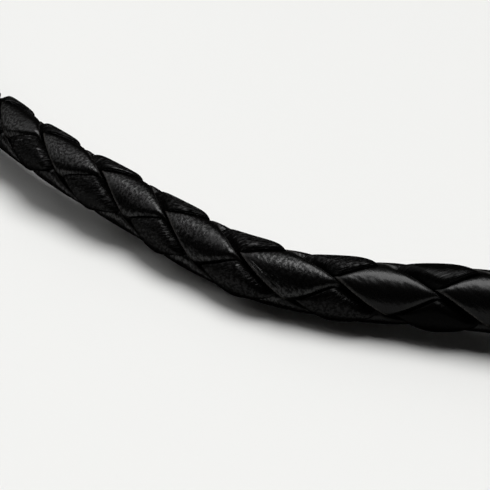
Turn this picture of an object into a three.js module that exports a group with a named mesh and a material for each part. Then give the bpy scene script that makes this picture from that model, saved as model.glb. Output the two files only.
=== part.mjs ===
// Braided leather cord necklace: one round plaited cord, closed into a loop by a plain barrel clasp.
// It lies on a flat surface with its front towards -Y and the clasp at the back, in millimetres, +Z up.
import * as THREE from "three";

// Cord
const CORD_DIAMETER = 4;
const CORD_SIDES = 12;
const CORD_STEPS = 50; // one step for every two diameters or so

// Clasp
const CLASP_DIAMETER = 6;
const CLASP_LENGTH = 20;
const CLASP_BEVEL = 0.6;
const CLASP_SIDES = 24;
const CLASP_Y = 69;

// How the two meet
const END_GAP = 0.3; // between each end of the cord and the clasp's face
const END_X = CLASP_LENGTH / 2 + END_GAP;
const END_RISE = (CLASP_DIAMETER - CORD_DIAMETER) / 2; // up to the axis of the thicker clasp

// Route of the cord's centreline, from the clasp's left face round the front to its right face.
// Each row is x, y and the rise over the height at which the cord lies on the surface.
const ROUTE = [
  [-END_X, CLASP_Y, END_RISE],
  [-18.5, 68.5, 0.9],
  [-30, 64.8, 0.4],
  [-41, 59.4, 0],
  [-51, 52.4, 0],
  [-60, 43.5, 0],
  [-67, 33, 0],
  [-71.8, 21.5, 0],
  [-74, 9.5, 0],
  [-74, -2.5, 0],
  // left of the front the cord humps up a little
  [-71.8, -14, 0],
  [-67.5, -25, 0.1],
  [-61, -35, 0.4],
  [-53, -43.8, 0.9],
  [-44, -51, 1.4],
  [-34.2, -57, 1.7],
  [-24, -62, 1.8],
  [-13.4, -66.1, 1.5],
  [-4.6, -68, 0.5],
  [2.1, -69.8, 0.1],
  // the slight bend in the front lies on the surface
  [7, -70.4, 0],
  [12, -69.7, 0],
  // and right of it is a second, lower hump
  [19, -68, 0.4],
  [28.4, -65.5, 0.8],
  [37.8, -59.6, 0.9],
  [47, -52.7, 0.6],
  [55.5, -45, 0.2],
  [62.8, -36, 0],
  [68.8, -25, 0],
  [72.8, -13, 0],
  [74.4, 0, 0],
  [73, 13, 0],
  [69, 25.5, 0],
  [62.3, 37.3, 0],
  [53.5, 47.6, 0],
  [42.5, 56.7, 0],
  [30, 64.8, 0.4],
  [18.5, 68.5, 0.9],
  [END_X, CLASP_Y, END_RISE],
];

// A curve that lies on a surface: along all of it, a section's +Y side faces up.
class LyingCurve extends THREE.CatmullRomCurve3 {
  computeFrenetFrames(steps) {
    const up = new THREE.Vector3(0, 0, 1);
    const frames = { tangents: [], normals: [], binormals: [] };
    for (let i = 0; i <= steps; i++) {
      const tangent = this.getTangentAt(i / steps);
      const normal = new THREE.Vector3().crossVectors(up, tangent).normalize();
      frames.tangents.push(tangent);
      frames.normals.push(normal);
      frames.binormals.push(new THREE.Vector3().crossVectors(tangent, normal));
    }
    return frames;
  }
}

// A regular polygon that stands on one of its flats, with the given width across flats.
function flatBottomedPolygon(sides, acrossFlats) {
  const cornerRadius = acrossFlats / 2 / Math.cos(Math.PI / sides);
  const corners = [];
  for (let i = 0; i < sides; i++) {
    const angle = ((i + 0.5) / sides) * 2 * Math.PI;
    corners.push(new THREE.Vector2(cornerRadius * Math.sin(angle), cornerRadius * Math.cos(angle)));
  }
  return new THREE.Shape(corners);
}

function plaitedCord() {
  const lyingHeight = CORD_DIAMETER / 2;
  const route = new LyingCurve(ROUTE.map(([x, y, rise]) => new THREE.Vector3(x, y, lyingHeight + rise)));
  const section = flatBottomedPolygon(CORD_SIDES, CORD_DIAMETER);
  const geometry = new THREE.ExtrudeGeometry(section, { extrudePath: route, steps: CORD_STEPS });
  const blackLeather = new THREE.MeshStandardMaterial({ color: 0x1b1816, roughness: 0.5, metalness: 0 });
  const mesh = new THREE.Mesh(geometry, blackLeather);
  mesh.name = "plaited_cord";
  return mesh;
}

function clasp() {
  const halfLength = CLASP_LENGTH / 2;
  const cornerRadius = CLASP_DIAMETER / 2 / Math.cos(Math.PI / CLASP_SIDES);
  const profile = [
    new THREE.Vector2(0, -halfLength),
    new THREE.Vector2(cornerRadius - CLASP_BEVEL, -halfLength),
    new THREE.Vector2(cornerRadius, -halfLength + CLASP_BEVEL),
    new THREE.Vector2(cornerRadius, halfLength - CLASP_BEVEL),
    new THREE.Vector2(cornerRadius - CLASP_BEVEL, halfLength),
    new THREE.Vector2(0, halfLength),
  ];
  const flatDown = Math.PI / CLASP_SIDES; // half a facet, so that the barrel lies on a flat
  const geometry = new THREE.LatheGeometry(profile, CLASP_SIDES, flatDown);
  const brushedSteel = new THREE.MeshStandardMaterial({ color: 0xb8b9bc, roughness: 0.35, metalness: 1 });
  const mesh = new THREE.Mesh(geometry, brushedSteel);
  mesh.name = "clasp";
  mesh.rotation.z = -Math.PI / 2;
  mesh.position.set(0, CLASP_Y, CLASP_DIAMETER / 2);
  return mesh;
}

const necklace = new THREE.Group();
necklace.add(plaitedCord(), clasp());

export default necklace;
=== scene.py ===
# %% [markdown]
# # A braided leather cord necklace
# The necklace is one round cord, plaited from six flat strips of black leather. It lies in a
# loop on a table, and a plain steel barrel clasp at the back closes it.
# Everything is in metres, with +Z up and the front of the loop towards -Y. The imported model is
# loaded first, because it fixes the size and the place of everything that follows.

# %% Load the frame
import math
import bmesh
import bpy
import numpy as np
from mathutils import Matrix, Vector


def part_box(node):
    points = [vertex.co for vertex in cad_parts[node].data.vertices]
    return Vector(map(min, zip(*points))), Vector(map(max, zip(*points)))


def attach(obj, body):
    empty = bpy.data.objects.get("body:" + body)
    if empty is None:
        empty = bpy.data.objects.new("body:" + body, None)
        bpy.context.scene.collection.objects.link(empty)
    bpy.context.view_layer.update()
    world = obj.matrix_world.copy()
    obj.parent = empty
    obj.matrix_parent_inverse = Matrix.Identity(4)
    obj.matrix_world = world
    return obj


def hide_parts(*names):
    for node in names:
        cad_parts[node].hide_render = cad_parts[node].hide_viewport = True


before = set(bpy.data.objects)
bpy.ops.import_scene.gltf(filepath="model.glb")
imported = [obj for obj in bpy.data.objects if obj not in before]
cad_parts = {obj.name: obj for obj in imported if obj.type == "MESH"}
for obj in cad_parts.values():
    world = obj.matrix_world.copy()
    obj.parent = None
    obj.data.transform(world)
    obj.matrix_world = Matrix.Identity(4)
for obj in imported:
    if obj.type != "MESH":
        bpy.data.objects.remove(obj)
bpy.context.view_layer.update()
clasp_low, clasp_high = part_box("clasp")

# %% [markdown]
# ## The camera
# A real camera close to a small thing sees a short stretch of it, large. Here it stands outside the
# loop, just right of the middle, and looks down and to the left along the front of the cord.
# It could be aimed with a Track To constraint, but two plain angles are easier to read: the pitch
# below the horizon and the turn away from +Y.

# %% Camera
CAMERA_PLACE = (0.02164, -0.10609, 0.03363)
CAMERA_PITCH = math.radians(37)
CAMERA_TURN = math.radians(25)
CAMERA_FIELD = math.radians(37.683)
CAMERA_NEAREST = 0.005  # nothing nearer than this is drawn

camera_data = bpy.data.cameras.new("camera")
camera_data.lens_unit = "FOV"
camera_data.angle = CAMERA_FIELD
camera_data.clip_start = CAMERA_NEAREST
camera = bpy.data.objects.new("camera", camera_data)
camera.location = CAMERA_PLACE
camera.rotation_euler = (math.pi / 2 - CAMERA_PITCH, 0, CAMERA_TURN)
bpy.context.scene.collection.objects.link(camera)
bpy.context.scene.camera = camera
print("field of view", round(math.degrees(CAMERA_FIELD), 1), "degrees")

# %% [markdown]
# ## The route of the cord
# A leather cord springs into a wide, uneven loop. Its middle line could be drawn as a Bezier curve,
# but the strips need to know the direction of the cord at every point, so the line is worked out
# here: one smooth curve through a few places, each with its rise over the table. The curve is a
# centripetal Catmull-Rom spline, which passes through every place without overshooting.

# %% Places on the route
CORD_DIAMETER = 0.004
ROUTE = [  # x, y, and the rise over the height at which the cord lies on the table
    (-0.0103, 0.0690, 0.0010),
    (-0.0185, 0.0685, 0.0009),
    (-0.0300, 0.0648, 0.0004),
    (-0.0410, 0.0594, 0.0000),
    (-0.0510, 0.0524, 0.0000),
    (-0.0600, 0.0435, 0.0000),
    (-0.0670, 0.0330, 0.0000),
    (-0.0718, 0.0215, 0.0000),
    (-0.0740, 0.0095, 0.0000),
    (-0.0740, -0.0025, 0.0000),
    (-0.0718, -0.0140, 0.0000),
    (-0.0675, -0.0250, 0.0001),
    (-0.0610, -0.0350, 0.0004),
    (-0.0530, -0.0438, 0.0009),
    (-0.0440, -0.0510, 0.0014),
    (-0.0342, -0.0570, 0.0017),
    (-0.0240, -0.0620, 0.0018),
    (-0.0134, -0.0661, 0.0015),
    (-0.0046, -0.0680, 0.0005),
    (0.0021, -0.0698, 0.0001),
    (0.0070, -0.0704, 0.0000),
    (0.0120, -0.0697, 0.0000),
    (0.0190, -0.0680, 0.0004),
    (0.0284, -0.0655, 0.0008),
    (0.0378, -0.0596, 0.0009),
    (0.0470, -0.0527, 0.0006),
    (0.0555, -0.0450, 0.0002),
    (0.0628, -0.0360, 0.0000),
    (0.0688, -0.0250, 0.0000),
    (0.0728, -0.0130, 0.0000),
    (0.0744, 0.0000, 0.0000),
    (0.0730, 0.0130, 0.0000),
    (0.0690, 0.0255, 0.0000),
    (0.0623, 0.0373, 0.0000),
    (0.0535, 0.0476, 0.0000),
    (0.0425, 0.0567, 0.0000),
    (0.0300, 0.0648, 0.0004),
    (0.0185, 0.0685, 0.0009),
    (0.0103, 0.0690, 0.0010),
]


def distances(points):
    """How far along a row of points each one is."""
    return np.concatenate([[0], np.cumsum(np.linalg.norm(np.diff(points, axis=0), axis=1))])


def smooth_line(places, steps):
    """Points of a centripetal Catmull-Rom spline through the places."""
    before = 2 * places[0] - places[1]
    after = 2 * places[-1] - places[-2]
    all_places = np.vstack([before, places, after])
    t = np.linspace(0, 1, steps, endpoint=False)[:, None]
    line = []
    for p0, p1, p2, p3 in zip(all_places, all_places[1:], all_places[2:], all_places[3:]):
        d0, d1, d2 = (np.linalg.norm(b - a) ** 0.5 for a, b in ((p0, p1), (p1, p2), (p2, p3)))
        leave = ((p1 - p0) / d0 - (p2 - p0) / (d0 + d1) + (p2 - p1) / d1) * d1
        arrive = ((p2 - p1) / d1 - (p3 - p1) / (d1 + d2) + (p3 - p2) / d2) * d1
        ends = (2 * t**3 - 3 * t**2 + 1) * p1 + (3 * t**2 - 2 * t**3) * p2
        line.append(ends + (t**3 - 2 * t**2 + t) * leave + (t**3 - t**2) * arrive)
    return np.vstack([*line, places[-1:]])


places = np.array(ROUTE) + (0, 0, CORD_DIAMETER / 2)
route = smooth_line(places, steps=100)
route_at = distances(route)
CORD_LENGTH = route_at[-1]
print("cord", round(CORD_LENGTH, 4), "m long, from", route[0], "to", route[-1])

# %% [markdown]
# ## Three directions along the cord
# At every point the cord has a direction ahead, one across, into the loop, and one up. A curve
# object can twist along its way, but these are set from straight up, so an angle round the cord
# always means the same side: 0 is inside the loop, and a quarter turn is up.
# Both ends run on straight for a few millimetres, into the mouths of the clasp.

# %% Directions
MOUTH_DEPTH = 0.0018  # how far the cord goes on into the clasp, past its end in the CAD
RUN_ON = 0.004  # the straight stretch past each end
ahead = np.gradient(route, route_at, axis=0)
ahead /= np.linalg.norm(ahead, axis=1)[:, None]
route_at = np.concatenate([[-RUN_ON], route_at, [CORD_LENGTH + RUN_ON]])
route = np.vstack([route[0] - RUN_ON * ahead[0], route, route[-1] + RUN_ON * ahead[-1]])
ahead = np.vstack([ahead[0], ahead, ahead[-1]])
across = np.cross((0, 0, 1), ahead)
across /= np.linalg.norm(across, axis=1)[:, None]
upward = np.cross(ahead, across)


def along(values, at):
    """The row of values at each distance along the cord."""
    return np.stack([np.interp(at, route_at, column) for column in values.T], axis=-1)


print("ends point", ahead[0].round(2), "and", ahead[-1].round(2))

# %% [markdown]
# ## How a six-strip plait runs
# Three strips wind one way round the cord and three the other way, and each goes over one and
# under the next. Unrolled, the plait is a chequerboard: on half of its diamonds a strip of the
# first three is on top, and on the other half a strip of the second three. So each strip follows
# a wave, high over one crossing and low under the next. Plaiting by hand with curves would work
# too, but the wave keeps hundreds of crossings alike.
# Hands never pull quite evenly. The first three strips stay on top a little longer than the others,
# and all of them come up and go down a little late. The plait also grows tighter from the front
# on, and the whole cord is twisted by a small angle for each millimetre.

# %% The lay of the plait
EACH_WAY = 3  # strips that wind the same way
LAY = 0.0216  # the length in which a strip goes once round
TIGHTER = 0.0020  # how much shorter that is in the tighter half
TIGHT_FROM = 0.2170  # how far along the cord that half starts
TIGHT_REACH = 0.004  # and the length in which it gets tighter
CROSSING_AT = 0.2221  # here a strip of the first three is on top ...
CROSSING_SIDE = math.radians(121)  # ... on this side of the cord
TWIST = math.radians(1080)  # of the whole cord, in each metre
SNAP = 4.4  # how sharply a strip dives under
LONGER = 0.25  # how much longer the first three strips stay on top
LATE = {1: 0.15, -1: 0.08}  # how late they come up and go down, as an angle of the wave
PAST_ENDS = 0.01  # the plait is worked out a little past both ends of the cord
TURN_STEPS = 9000


def lay_at(at):
    """The length in which a strip goes once round, at a distance along the cord."""
    return LAY - TIGHTER * (1 + np.tanh((at - TIGHT_FROM) / TIGHT_REACH)) / 2


turn_at = np.linspace(-PAST_ENDS, CORD_LENGTH + PAST_ENDS, TURN_STEPS)
turn_sum = np.cumsum(2 * math.pi / lay_at(turn_at)) * (turn_at[1] - turn_at[0])
turn_sum -= np.interp(CROSSING_AT, turn_at, turn_sum)


def turned(at):
    """The angle that a strip has gone round by this distance along the cord."""
    return np.interp(at, turn_at, turn_sum)


def middle_side(at):
    """The side of the cord where its crossings line up."""
    return CROSSING_SIDE + TWIST * (at - CROSSING_AT)


def on_top(at, around, winding, third):
    """1 where this strip is on top, -1 where it is under, and a quick change between."""
    phase = EACH_WAY / 2 * (turned(at) + winding * (around - middle_side(at))) - LATE[winding]
    wave = winding * (-1) ** third * np.cos(phase)
    return np.tanh(SNAP * (wave + winding * LONGER)) / math.tanh(SNAP)


print("turns of a strip", round((turned(CORD_LENGTH) - turned(0)) / (2 * math.pi), 1))

# %% [markdown]
# ## The section of a strip
# A strip is cut from a hide about half a millimetre thick. It has a grain side, a flat flesh side,
# and two cut edges with small rounds at the corners. The section is a ring of points: across the
# strip, and out from its middle.
# Towards both edges the grain rolls down, most of all towards the first one, which stands free in
# the plait and is rubbed. That roll catches the light as a narrow bar along the edge. It could be
# a bevel on a finished strip, but in the section it costs nothing and runs the whole length.
# Each point also has a mark that is 1 at a raw lip and 0 on the grain, for the finish.

# %% Section
STRIP_WIDTH = 0.00246
STRIP_THICKNESS = 0.00050
FREE_ROLL = 0.00017  # how far the grain rolls down towards the first edge
SUNK_ROLL = 0.00006  # and towards the other, which sinks in beside the next strip
ROLL_POWER = 8  # a high power keeps the roll close to the edge
STRIP_ROUND = 0.00007
LIP_MARK = 0.8  # how raw the last point of the grain is
SIDE_MARK = 0.6  # and the cut edge below its lip
GRAIN_POINTS, CUT_POINTS, FLESH_POINTS = 21, 5, 7

half_width = STRIP_WIDTH / 2
half_thick = STRIP_THICKNESS / 2
flat_half = half_width - STRIP_ROUND
corner = STRIP_ROUND * (1 - math.sqrt(0.5))
grain = [(x, half_thick, 0.0) for x in np.linspace(-flat_half, flat_half, GRAIN_POINTS)]
grain[0] = (-flat_half, half_thick, LIP_MARK)
grain[-1] = (flat_half, half_thick, LIP_MARK)
flesh = [(x, -half_thick, 0.0) for x in np.linspace(flat_half, -flat_half, FLESH_POINTS)]
cut_heights = np.linspace(1, -1, CUT_POINTS) * (half_thick - STRIP_ROUND)
cut = [(half_width - corner, half_thick - corner, 1.0)]
cut += [(half_width, y, SIDE_MARK) for y in cut_heights]
cut += [(half_width - corner, corner - half_thick, SIDE_MARK)]
other_cut = [(-x, y, mark) for x, y, mark in reversed(cut)]
section = np.array(grain + cut + flesh + other_cut)
over = section[:, 0] / half_width
roll = -np.where(over < 0, FREE_ROLL, SUNK_ROLL) * np.abs(over) ** ROLL_POWER
section[:, 1] += roll * (section[:, 1] + half_thick) / (2 * half_thick)
print("points round a strip", len(section))

# %% [markdown]
# ## A skin over rings
# Every long piece here is a row of rings, so one function turns rings into a closed mesh. It also
# writes the map that the leather follows, in millimetres along the piece and round it. Rings are
# closer together at the front, where the cord is seen from near by.

# %% Skin maker
FRONT_FROM, FRONT_TO = 0.180, 0.245
FRONT_STEP = 0.0001
BACK_STEP = 0.0004
MAP_PER_METRE = 1000  # the map is in millimetres

ring_at = np.concatenate([
    np.arange(-MOUTH_DEPTH, FRONT_FROM, BACK_STEP),
    np.arange(FRONT_FROM, FRONT_TO, FRONT_STEP),
    np.arange(FRONT_TO, CORD_LENGTH + MOUTH_DEPTH, BACK_STEP),
])


def skin(name, rings, map_start):
    """A closed object over rings of points, with its map and its faces pointing out."""
    count, sides = rings.shape[:2]
    corners = np.arange(count * sides).reshape(count, sides)
    here, there = corners[:-1], corners[1:]
    faces = np.stack([here, there, np.roll(there, -1, 1), np.roll(here, -1, 1)], -1).reshape(-1, 4)
    caps = [corners[0].tolist(), corners[-1, ::-1].tolist()]
    mesh = bpy.data.meshes.new(name)
    mesh.from_pydata(rings.reshape(-1, 3).tolist(), [], faces.tolist() + caps)
    mesh.update()
    corner_point = np.zeros(len(mesh.loops), np.int32)
    mesh.loops.foreach_get("vertex_index", corner_point)
    run_along = distances(rings.mean(axis=1))[corner_point // sides]
    run_round = distances(rings[count // 2])[corner_point % sides]
    on_map = np.stack([run_along, run_round], -1) * MAP_PER_METRE + map_start
    mesh.uv_layers.new(name="strip_map").data.foreach_set("uv", on_map.astype(np.float32).ravel())
    checker = bmesh.new()
    checker.from_mesh(mesh)
    if checker.calc_volume(signed=True) < 0:
        mesh.flip_normals()
    checker.free()
    mesh.shade_smooth()
    made = bpy.data.objects.new(name, mesh)
    bpy.context.scene.collection.objects.link(made)
    print(name, len(mesh.polygons), "faces")
    return made


print("rings", len(ring_at))

# %% [markdown]
# ## One strip from end to end
# The section is swept along its winding path. Each point is moved across the strip on the
# rolled-out cord, and then out to the height that the plait has there, so the ends of a diamond
# tuck down beside the strips that cross it. A curve with a bevel would be quicker to make, but its
# section can't follow the strips beside it.
# The first three strips are broad and lie nearly level. The second three were pulled harder, so
# they are narrower and bulge more, and they lean like shingles: their free edge stands up, and the
# other sinks in. No two strips are quite alike, so slow waves change each one's width, place and
# height.
# Each strip also carries marks for its finish: how raw, pulled, sunken and worn it is, and how far
# it faces up. The raw mark is kept low on the second three strips, as painted shade.

# %% Strip maker
MIDDLE_RADIUS = 0.00155
STEP_RADIUS = {1: 0.00024, -1: 0.00032}  # out over one crossing and in under the next
DOME = {1: 0.00002, -1: 0.00013}  # how far the middle of a strip bulges out where it is on top
TILT = {1: -0.00002, -1: 0.00016}  # how far the free edge stands up and the other sinks in
BROAD = {1: 1.12, -1: 0.99}  # how broad they are, against the section
ASIDE = {1: 0.00011, -1: 0.00020}  # how far they lie towards their free edge
PULLED = {1: 0.0, -1: 1.0}
RAW_AND_SHADED_EDGES = {1: 1.0, -1: 0.15}  # how pale their cut edges are; the second three's edges are painted nearly black, as painted shade of the grooves
FREE_EDGE_RAW = 0.5  # the free edge is rubbed, and only half as pale as the other
WORN_TO = {1: 0.2254, -1: 0.2290}  # up to here the grain is pebbly and worn, then it is smooth
WORN_FADE = 0.001
TABLE_GAP = 0.00001
UNEVEN_WIDTH = 0.07
UNEVEN_SIDE = math.radians(3)
UNEVEN_HEIGHT = 0.00005
UNEVEN_LENGTHS = (0.0145, 0.0098, 0.0057)
hand = np.random.default_rng(6)


def slow_wave():
    """An uneven wave between -1 and 1 along the cord, different at each call."""
    wave = np.zeros_like(ring_at)
    for length in UNEVEN_LENGTHS:
        stretched = length * hand.uniform(0.9, 1.1)
        wave += np.sin(2 * math.pi * (ring_at / stretched + hand.uniform()))
    return wave / len(UNEVEN_LENGTHS)


def strip(name, winding, third, map_start):
    """A leather strip: winding is 1 or -1 for the two ways round, and third counts those alike."""
    side = middle_side(ring_at) + third * 2 * math.pi / EACH_WAY + winding * turned(ring_at)
    rate = np.gradient(side, ring_at)
    slant = np.arctan(MIDDLE_RADIUS * rate)
    side = side + UNEVEN_SIDE * slow_wave()
    broad = BROAD[winding] + UNEVEN_WIDTH * slow_wave()[:, None]
    lifted = UNEVEN_HEIGHT * slow_wave()[:, None]
    width, out, mark = section.T
    width = winding * (broad * width - ASIDE[winding])
    at = ring_at[:, None] - width * np.sin(slant)[:, None]
    around = side[:, None] + width * np.cos(slant)[:, None] / MIDDLE_RADIUS
    level = on_top(at, around, winding, third)
    sunk_side = winding * width / half_width  # 1 at the edge that sinks in and -1 at the free one
    bulge = DOME[winding] * (1 - sunk_side**2) * (1 + level) / 2
    step = STEP_RADIUS[winding] * level
    height = MIDDLE_RADIUS + step + out + lifted + bulge - TILT[winding] * sunk_side
    rings = along(route, at)
    rings += (height * np.cos(around))[..., None] * along(across, at)
    rings += (height * np.sin(around))[..., None] * along(upward, at)
    rings[..., 2] = np.maximum(rings[..., 2], TABLE_GAP)  # pressed flat where it lies on the table
    made = skin(name, rings, map_start)
    # the cut_edge mark is raw on the first three strips, and kept low on the second three as
    # painted shade
    marks = {
        "cut_edge": mark * RAW_AND_SHADED_EDGES[winding] * np.where(section[:, 0] < 0, FREE_EDGE_RAW, 1.0),
        "pulled": PULLED[winding],
        "sunken": (1 - level) / 2,
        "worn": (1 - np.tanh((at - WORN_TO[winding]) / WORN_FADE)) / 2,
        "facing_up": np.sin(around),
    }
    for title, value in marks.items():
        layer = made.data.attributes.new(title, "FLOAT", "POINT")
        layer.data.foreach_set("value", np.broadcast_to(value, at.shape).astype(np.float32).ravel())
    return made


print("strips", [round(1000 * STRIP_WIDTH * BROAD[winding], 2) for winding in (1, -1)], "mm wide")

# %% Six strips
MAP_SPACING = 40  # so that no two strips have the same grain
strips = []
for winding in (1, -1):
    for third in range(EACH_WAY):
        name = f"strip_{len(strips) + 1}"
        strips.append(strip(name, winding, third, (0, MAP_SPACING * len(strips))))

# %% [markdown]
# Inside the strips runs a thin round lace. It keeps the plait round, and it shows black in the
# little holes where four strips meet.

# %% Core lace
CORE_RADIUS = 0.00085
CORE_SIDES = 16
core_turn = np.arange(CORE_SIDES)[:, None] * 2 * math.pi / CORE_SIDES
core_across = np.cos(core_turn) * along(across, ring_at)[:, None]
core_upward = np.sin(core_turn) * along(upward, ring_at)[:, None]
core_rings = along(route, ring_at)[:, None] + CORE_RADIUS * (core_across + core_upward)
core = skin("core_lace", core_rings, (0, -MAP_SPACING))
for made in [*strips, core]:
    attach(made, "root")
    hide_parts("plaited_cord")

# %% [markdown]
# The six strips and the core lace all hang from the root, and both ends of the plait go into the
# clasp.

print("declared", round(CORD_LENGTH, 4), "m of cord")

# %% [markdown]
# ## Writing materials as sums
# A finish is a little calculation that the renderer does at every point. This class wraps one
# socket, so that Python's own signs add the Math nodes, and `node` adds any other node.

# %% Shader maths
class Wire:
    """An output of a material's nodes, or with no socket the place to start from."""

    def __init__(self, tree, socket=None):
        self.tree = tree
        self.socket = socket

    def node(self, kind, settings=None, inputs=None, output=0):
        """Adds a node, sets it up, feeds its sockets and returns one of its outputs."""
        made = self.tree.nodes.new(kind)
        for name, value in (settings or {}).items():
            setattr(made, name, value)
        for name, value in (inputs or {}).items():
            if isinstance(value, Wire):
                self.tree.links.new(value.socket, made.inputs[name])
            else:
                made.inputs[name].default_value = value
        return Wire(self.tree, made.outputs[output])

    def math(self, operation, first, second):
        return self.node("ShaderNodeMath", {"operation": operation}, {0: first, 1: second})

    def __add__(self, other):
        return self.math("ADD", self, other)

    def __radd__(self, other):
        return self.math("ADD", other, self)

    def __sub__(self, other):
        return self.math("SUBTRACT", self, other)

    def __rsub__(self, other):
        return self.math("SUBTRACT", other, self)

    def __mul__(self, other):
        return self.math("MULTIPLY", self, other)

    def __rmul__(self, other):
        return self.math("MULTIPLY", other, self)

    def ramp(self, low, high):
        """0 below low, 1 above high, and smooth between."""
        settings = {"interpolation_type": "SMOOTHSTEP"}
        inputs = {"Value": self, "From Min": low, "From Max": high}
        return self.node("ShaderNodeMapRange", settings, inputs)

    def mix(self, first, second):
        """Blends two colours: the first at 0, the second at 1."""
        return self.node("ShaderNodeMix", {"data_type": "RGBA"}, {0: self, 6: first, 7: second}, 2)


def new_material(name):
    """A material with one Principled shader: returns it, its shader node and a wire to start at."""
    material = bpy.data.materials.new(name)
    material.use_nodes = True
    tree = material.node_tree
    shader = next(node for node in tree.nodes if node.type == "BSDF_PRINCIPLED")
    return material, shader, Wire(tree)


# %% [markdown]
# ## Black leather
# Dyed leather is nearly black, with a breath of brown in the pores. It could be one glossy shader
# with a bump, but a real hide is patchy: the smooth grain shines like wax, and the pores, the
# pulled fibres and the raw cut edges hardly shine at all. So two shaders are mixed, a glossy one
# and a dull one. The pattern follows the strip, so it reads the strip's own map, in millimetres,
# and the marks that the strip carries.

# %% Leather pattern
leather, gloss, hide = new_material("black_leather")
strip_map = hide.node("ShaderNodeUVMap", {"uv_map": "strip_map"})


def strip_mark(title):
    """One of the marks that a strip carries."""
    return hide.node("ShaderNodeAttribute", {"attribute_name": title}, output=2)


def noise(along_strip, across_strip, detail, shift):
    """Noise on the strip, from its scales per millimetre along and across."""
    scale = (along_strip, across_strip, 1)
    mapping = {"Vector": strip_map, "Scale": scale, "Location": (shift, shift, 0)}
    place = hide.node("ShaderNodeMapping", {}, mapping)
    return hide.node("ShaderNodeTexNoise", {}, {"Vector": place, "Scale": 1.0, "Detail": detail})


cut_edge = strip_mark("cut_edge")
pulled = strip_mark("pulled")
sunken = strip_mark("sunken")
worn = strip_mark("worn")
polished = strip_mark("facing_up").ramp(0.0, 0.75)

lumps = noise(1.6, 2.2, detail=1.0, shift=3.1)
pebbles = noise(4.6, 4.6, detail=2.0, shift=17.1)
fine = noise(11, 11, detail=3.0, shift=5.7)
fibres = noise(0.8, 7.0, detail=3.0, shift=11.9)
rough_patches = noise(0.30, 0.45, detail=2.0, shift=7.3).ramp(0.28, 0.44) * worn
pulled_patches = noise(0.22, 0.5, detail=2.0, shift=31.7) + pulled * 0.24
pulled_patches = pulled_patches.ramp(0.58, 0.72)
print("leather pattern", len(hide.tree.nodes), "nodes")

# %% [markdown]
# The relief is the sum of what a hide has at each size: slow lumps, pebbled grain where it is worn,
# wrinkles where it was pulled, and fine grain all over. All of it is far too fine to model, so it
# is a bump. The wrinkles run along the strip, because that is the way it was pulled.

# %% Leather relief
LUMP_HEIGHT = 0.035  # this and the next four are in millimetres
PEBBLE_HEIGHT = 0.020
SMOOTH_HEIGHT = 0.003  # of the same pebbles on the smooth grain
WRINKLE_HEIGHT = 0.040
FINE_HEIGHT = 0.0025
pebbled = pebbles * (SMOOTH_HEIGHT + rough_patches * PEBBLE_HEIGHT)
wrinkles = fibres.ramp(0.42, 0.60) * pulled_patches * polished
wrinkled = wrinkles * (0.3 + worn * 0.7) * WRINKLE_HEIGHT
relief = lumps * LUMP_HEIGHT + pebbled + wrinkled + fine * FINE_HEIGHT
bump = hide.node("ShaderNodeBump", {}, {"Height": relief, "Distance": 0.001, "Strength": 1.0})
print("leather relief", len(hide.tree.nodes), "nodes")

# %% Leather colour
BLACK = (0.0010, 0.00095, 0.0009, 1)
BROWN = (0.0022, 0.0018, 0.0016, 1)
RAW_LEATHER = (0.030, 0.028, 0.026, 1)
grain_colour = fine.ramp(0.5, 0.75).mix(BLACK, BROWN)
# the pale raw colour of the cut edges, nearly off on the second three strips as painted shade
raw_and_shaded_edge = cut_edge.ramp(0.2, 1.0) * (0.25 + pebbles.ramp(0.4, 0.6) * 0.75)
colour = raw_and_shaded_edge.mix(grain_colour, RAW_LEATHER)
roughness = 0.23 + fine * 0.10 + cut_edge * 0.25
hide.tree.links.new(colour.socket, gloss.inputs["Base Color"])
hide.tree.links.new(roughness.socket, gloss.inputs["Roughness"])
hide.tree.links.new(bump.socket, gloss.inputs["Normal"])
gloss.inputs["Specular IOR Level"].default_value = 0.25

dull = hide.tree.nodes.new("ShaderNodeBsdfPrincipled")
dull.inputs["Roughness"].default_value = 0.8
dull.inputs["Specular IOR Level"].default_value = 0.0
hide.tree.links.new(colour.socket, dull.inputs["Base Color"])
hide.tree.links.new(bump.socket, dull.inputs["Normal"])
print("leather shaders", gloss.name, "and", dull.name)

# %% [markdown]
# Seen along its surface, leather would mirror the room like a sheet of glass, but its open pores
# swallow most of that. Layer Weight tells how far the surface turns away, and the dull shader takes
# over there, except on the tops of pulled fibres.
# Four more things dull it: the pores, most of all where it is worn; the recess where a strip dives
# under another; the flat finish of the smooth grain and of the strips that were pulled hard; and on
# the smooth stretch the underside, which nothing has polished. Each takes its share of the shine
# that the others leave, so they are multiplied.

# %% Leather gloss
away = hide.node("ShaderNodeLayerWeight", {}, {"Blend": 0.5, "Normal": bump}, "Facing")
fibre_tops = fibres.ramp(0.56, 0.65) * pulled * polished * (0.4 + worn * 0.6)
pores = (pebbles * 0.75 + fine * 0.25).ramp(0.46, 0.54) * (0.12 + rough_patches * 0.88)
recess = (sunken + pulled * 0.15).ramp(0.35, 0.65)
flat_finish = (1 - rough_patches) * 0.22 + pulled * 0.62 - fibre_tops * 0.50
underside = (1 - worn) * (1 - polished)
shine = 1 - away.ramp(0.30, 0.65) * (0.97 - fibre_tops * 0.75)
shine = shine * (1 - pores * 0.68) * (1 - recess * 0.45)
shine = shine * (1 - flat_finish) * (1 - underside * 0.5)
gloss_out = Wire(hide.tree, gloss.outputs[0])
dull_out = Wire(hide.tree, dull.outputs[0])
finish = hide.node("ShaderNodeMixShader", {}, {0: 1 - shine, 1: gloss_out, 2: dull_out})
surface = next(node for node in hide.tree.nodes if node.type == "OUTPUT_MATERIAL")
hide.tree.links.new(finish.socket, surface.inputs["Surface"])
for made in [*strips, core]:
    made.data.materials.append(leather)
print("leather", len(hide.tree.nodes), "nodes in all")

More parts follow.
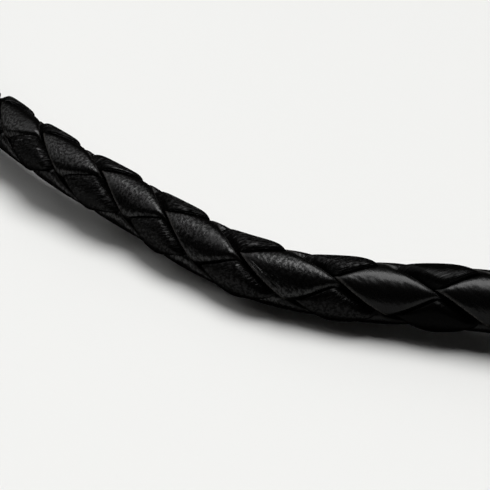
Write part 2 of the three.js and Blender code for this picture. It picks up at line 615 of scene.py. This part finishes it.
# %% [markdown]
# ## The clasp
# A barrel clasp is two turned steel halves that close end to end, with the seam in the middle.
# Each half has a collar, cut off by a groove, and a mouth that the plait is glued into. Its outline
# could be drawn and spun, but here one cylinder is cut like a bar on a lathe, because each cut is
# one short step: the flat ends are pushed in to make the mouths, and narrow rings sink for the
# grooves.

# %% Blank bar
WITHIN_CAD = 0.00002  # so that the round bar stays inside the box of the plain one
STEEL_RADIUS = (clasp_high.z - clasp_low.z) / 2 - WITHIN_CAD
clasp_centre = (clasp_low + clasp_high) / 2
clasp_half = (clasp_high.x - clasp_low.x) / 2


def nothing_selected():
    """Operators act on all that is selected, so each step starts with nothing."""
    if bpy.context.mode != "OBJECT":
        bpy.ops.object.mode_set(mode="OBJECT")
    bpy.ops.object.select_all(action="DESELECT")


def select_faces(piece, wanted):
    """Goes into edit mode with just the faces selected for which wanted(centre, normal) is true."""
    bpy.ops.object.mode_set(mode="EDIT")
    bpy.ops.mesh.select_mode(type="FACE")
    bpy.ops.mesh.select_all(action="DESELECT")
    bpy.ops.object.mode_set(mode="OBJECT")
    for face in piece.data.polygons:
        face.select = bool(wanted(face.center, face.normal))
    bpy.ops.object.mode_set(mode="EDIT")


nothing_selected()
bpy.ops.mesh.primitive_cylinder_add(
    vertices=96,
    radius=STEEL_RADIUS,
    depth=2 * clasp_half,
    location=clasp_centre,
    rotation=(0, math.pi / 2, 0),
)
barrel = bpy.context.object
barrel.name = "barrel_clasp"
barrel.data.name = "barrel_clasp"
bpy.ops.object.transform_apply(location=True, rotation=True, scale=True)
print("bar", round(2000 * clasp_half, 1), "mm long")

# %% Mouths
MOUTH_RADIUS = 0.00208
MOUTH_BOTTOM = 0.0026
ALONG_BAR = 0.9  # an end face looks along the bar, so the X of its normal is above this
for end in (-1, 1):
    select_faces(barrel, lambda centre, normal: normal.x * end > ALONG_BAR)
    bpy.ops.mesh.inset(thickness=STEEL_RADIUS - MOUTH_RADIUS)
    bpy.ops.mesh.extrude_region_move(TRANSFORM_OT_translate={"value": (-end * MOUTH_BOTTOM, 0, 0)})
bpy.ops.object.mode_set(mode="OBJECT")
print("mouths", round(2000 * MOUTH_RADIUS, 2), "mm wide")

# %% Seam and grooves
COLLAR_LENGTH = 0.0030
GROOVE_WIDTH = 0.0007
GROOVE_DEPTH = 0.00035
SEAM_WIDTH = 0.00018
SEAM_DEPTH = 0.00025
groove_at = clasp_half - COLLAR_LENGTH - GROOVE_WIDTH / 2
TURNED_RINGS = (  # place along the bar, width and depth of each ring that is cut in
    (-groove_at, GROOVE_WIDTH, GROOVE_DEPTH),
    (groove_at, GROOVE_WIDTH, GROOVE_DEPTH),
    (0, SEAM_WIDTH, SEAM_DEPTH),
)
for place, width, depth in TURNED_RINGS:
    for side in (-1, 1):
        bpy.ops.object.mode_set(mode="EDIT")
        bpy.ops.mesh.select_all(action="SELECT")
        cut_place = (clasp_centre.x + place + side * width / 2, clasp_centre.y, clasp_centre.z)
        bpy.ops.mesh.bisect(plane_co=cut_place, plane_no=(1, 0, 0))
    select_faces(barrel, lambda centre, normal: abs(centre.x - clasp_centre.x - place) < width / 2)
    bpy.ops.mesh.extrude_region_shrink_fatten(TRANSFORM_OT_shrink_fatten={"value": -depth})
bpy.ops.object.mode_set(mode="OBJECT")
print("grooves at", [round(1000 * x, 2) for x in (-groove_at, groove_at)], "mm")

# %% [markdown]
# Turned metal has no knife edges. Each edge could be beveled in edit mode after its cut, but one
# Bevel modifier at the end rounds every edge that is sharper than 40 degrees. It is applied, so
# the mesh itself is rounded. Then the steel is shaded smooth except where it turns a real corner.

# %% Soft edges
EDGE_ROUND = 0.00009
SHARP = math.radians(40)
bevel = barrel.modifiers.new("soft_edges", "BEVEL")
bevel.width = EDGE_ROUND
bevel.segments = 3
bevel.limit_method = "ANGLE"
bevel.angle_limit = SHARP
bpy.ops.object.modifier_apply(modifier=bevel.name)
bpy.ops.object.shade_smooth_by_angle(angle=SHARP)
print("clasp", len(barrel.data.polygons), "faces")

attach(barrel, "root")
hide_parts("clasp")
print("barrel_clasp stands for clasp")

# %% [markdown]
# ## Brushed steel
# The clasp was turned and brushed on a lathe, so fine lines run round it. Noise that is squeezed
# along the barrel and stretched round it gives such lines, and needs no image. They change the
# roughness and lift the surface a very little. The grooves are painted darker, as painted shade:
# a groove is wherever the steel is nearer to the axis than the open metal is.

# %% Steel pattern
steel, steel_shader, metal = new_material("brushed_steel")
object_place = metal.node("ShaderNodeTexCoord", output="Object")
squeezed = metal.node("ShaderNodeMapping", {}, {"Vector": object_place, "Scale": (14000, 300, 300)})
lines = metal.node("ShaderNodeTexNoise", {}, {"Vector": squeezed, "Scale": 1.0})
smear_settings = {"Vector": object_place, "Scale": 420.0, "Detail": 3.0}
smears = metal.node("ShaderNodeTexNoise", {}, smear_settings)
minus_centre = {0: object_place, 1: clasp_centre}
from_centre = metal.node("ShaderNodeVectorMath", {"operation": "SUBTRACT"}, minus_centre)
off_axis = {0: from_centre, 1: (0, 1, 1)}
from_axis = metal.node("ShaderNodeVectorMath", {"operation": "MULTIPLY"}, off_axis)
radius = metal.node("ShaderNodeVectorMath", {"operation": "LENGTH"}, {0: from_axis}, "Value")
open_metal = radius.ramp(STEEL_RADIUS - GROOVE_DEPTH, STEEL_RADIUS - GROOVE_DEPTH / 3)
print("steel pattern", len(metal.tree.nodes), "nodes")

# %% Steel finish
GROOVE_SHADE_COLOUR = (0.16, 0.155, 0.15, 1)
STEEL_COLOUR = (0.62, 0.61, 0.60, 1)
LINE_HEIGHT = 0.000004
# painted shade: the grooves get a dark colour, and the open metal the light steel one
steel_colour = open_metal.mix(GROOVE_SHADE_COLOUR, STEEL_COLOUR)
steel_roughness = 0.36 + (lines - 0.5) * 0.25 + (smears - 0.5) * 0.12 - open_metal * 0.08
line_relief = {"Height": lines, "Distance": LINE_HEIGHT, "Strength": 0.8}
steel_bump = metal.node("ShaderNodeBump", {}, line_relief)
metal.tree.links.new(steel_colour.socket, steel_shader.inputs["Base Color"])
metal.tree.links.new(steel_roughness.socket, steel_shader.inputs["Roughness"])
metal.tree.links.new(steel_bump.socket, steel_shader.inputs["Normal"])
steel_shader.inputs["Metallic"].default_value = 1.0
barrel.data.materials.append(steel)
print("steel", len(metal.tree.nodes), "nodes in all")

# %% [markdown]
# ## Table and light
# The necklace lies on plain white board. A large soft lamp stands high over it, a little behind, so
# the shadow falls forward, and a wider and weaker one fills in from the left. They could be area
# lamps, but sun lamps with wide discs light the whole table evenly, where a near lamp would leave
# the far side dim.

# %% Floor
FLOOR_SIZE = 12
nothing_selected()
bpy.ops.mesh.primitive_plane_add(size=FLOOR_SIZE, location=(0, 0, 0))
floor = bpy.context.object
floor.name = "floor"
paper, paper_shader, _ = new_material("white_board")
paper_shader.inputs["Base Color"].default_value = (0.8, 0.8, 0.785, 1)
paper_shader.inputs["Roughness"].default_value = 0.7
paper_shader.inputs["Specular IOR Level"].default_value = 0.2
floor.data.materials.append(paper)
print("floor", FLOOR_SIZE, "m across")

# %% Lamps
LAMPS = (  # name, lean back, lean to the left, width of its disc in the sky, energy
    ("key", 20, 0, 38, 2.80),
    ("fill", 20, 50, 70, 1.35),
)
for name, back, left, disc, energy in LAMPS:
    light_data = bpy.data.lights.new(name, "SUN")
    light_data.angle = math.radians(disc)
    light_data.energy = energy
    light = bpy.data.objects.new(name, light_data)
    light.rotation_euler = (-math.radians(back), -math.radians(left), 0)
    bpy.context.scene.collection.objects.link(light)
    print("lamp", name, "leans", back, "back and", left, "to the left")

# %% [markdown]
# The room is dark overhead, which leaves black leather its depth, and pale low down, where its
# walls run into the table. One plain grey would be simpler, but it would veil the leather. The
# height over the horizon is the Z of the direction that is looked in.

# %% Room
WALL_TOP = math.sin(math.radians(9))
WALL_COLOUR = (0.8, 0.8, 0.78, 1)
CEILING_COLOUR = (0.012, 0.012, 0.012, 1)
bpy.context.scene.world = bpy.data.worlds.new("room")
bpy.context.scene.world.use_nodes = True
room = Wire(bpy.context.scene.world.node_tree)
looking = room.node("ShaderNodeTexCoord", output="Generated")
looking_up = room.node("ShaderNodeSeparateXYZ", {}, {"Vector": looking}, "Z")
walls = looking_up.ramp(0.0, WALL_TOP).mix(WALL_COLOUR, CEILING_COLOUR)
background = room.tree.nodes["Background"]
room.tree.links.new(walls.socket, background.inputs["Color"])
background.inputs["Strength"].default_value = 1.0
bpy.context.scene.view_settings.view_transform = "Standard"
print("walls up to", round(WALL_TOP, 3))
